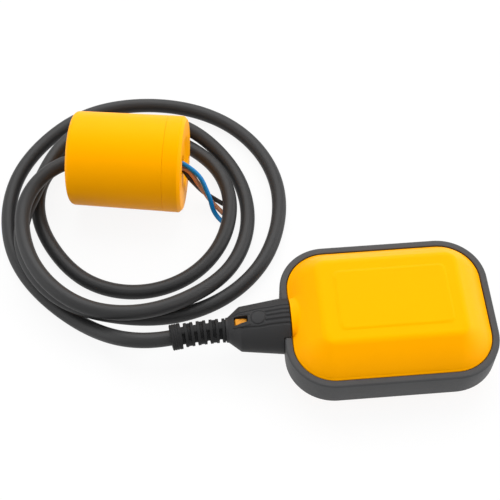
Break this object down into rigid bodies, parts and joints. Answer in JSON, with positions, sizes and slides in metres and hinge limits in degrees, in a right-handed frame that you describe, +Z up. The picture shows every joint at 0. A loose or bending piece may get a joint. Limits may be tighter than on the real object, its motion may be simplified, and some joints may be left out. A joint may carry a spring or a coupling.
{
  "type": "cable float switch",
  "caption": "Tilt-type cable float switch for pump level control: sealed float with ball-operated microswitch, loose cable with stripped cores, and sliding counterweight.",
  "frame": {"origin": "centre of the flat face of the float's lower shell that the float rests on", "axes": "+X along the float away from its cable, +Z up from the floor"},
  "size_m": [0.2557, 0.2083, 0.053],
  "materials": {
    "yellow_plastic": "semi-gloss moulded",
    "dark_rubber": "matt",
    "cable_jacket": "satin",
    "black_plastic": "matt",
    "white_plastic": "matt",
    "steel": "bright",
    "ballast_iron": "as cast",
    "brass": "plain",
    "copper": "bare",
    "core_blue": "satin",
    "core_brown": "satin",
    "core_black": "satin"
  },
  "bodies": {
    "float": {"upper_shell": "yellow_plastic", "lower_shell": "yellow_plastic", "rim_band": "dark_rubber", "neck_sleeve": "dark_rubber", "cable_entry": "yellow_plastic", "strain_relief": "dark_rubber", "entry_seal": "dark_rubber", "cable_inner": "cable_jacket", "cord_clamp": "white_plastic", "clamp_screw_1": "steel", "clamp_screw_2": "steel", "switch_box": "white_plastic", "box_seal": "dark_rubber", "switch_box_lid": "white_plastic", "lid_screw_1": "steel", "lid_screw_2": "steel", "lid_screw_3": "steel", "lid_screw_4": "steel", "core_grommet": "dark_rubber", "ball_track": "white_plastic", "lever_pin": "steel", "microswitch_body": "black_plastic", "switch_screw_1": "steel", "switch_screw_2": "steel", "terminal_com": "brass", "terminal_no": "brass", "terminal_nc": "brass", "core_blue": "core_blue", "core_brown": "core_brown", "core_black": "core_black", "cable": "cable_jacket", "tail_core_blue": "core_blue", "tail_core_brown": "core_brown", "tail_core_black": "core_black", "tail_copper_blue": "copper", "tail_copper_brown": "copper", "tail_copper_black": "copper"},
    "ball": {"steel_ball": "steel"},
    "lever": {"actuator_lever": "steel"},
    "plunger": {"switch_plunger": "white_plastic"},
    "counterweight": {"weight_shell": "yellow_plastic", "weight_cap": "yellow_plastic", "weight_ballast": "ballast_iron", "weight_collet": "white_plastic"}
  },
  "joints": [
    {"name": "ball_roll", "type": "slide", "parent": "float", "child": "ball", "axis": [1, 0, 0], "range_m": [0, 0.02]},
    {"name": "lever_tilt", "type": "hinge", "parent": "float", "child": "lever", "pos_m": [0.027, -0.009, 0.0185], "axis": [0, 1, 0], "range_deg": [0, 5.05]},
    {"name": "plunger_press", "type": "slide", "parent": "float", "child": "plunger", "axis": [0, 0, 1], "range_m": [0, 0.00085]},
    {"name": "weight_slide", "type": "slide", "parent": "float", "child": "counterweight", "axis": [-0.9874, 0.1582, 0], "range_m": [0, 0.006]}
  ],
  "couplings": [
    {"joint": "lever_tilt", "follows": "ball_roll", "rad_per_m": 4.3805},
    {"joint": "plunger_press", "follows": "ball_roll", "ratio": 0.0407}
  ]
}
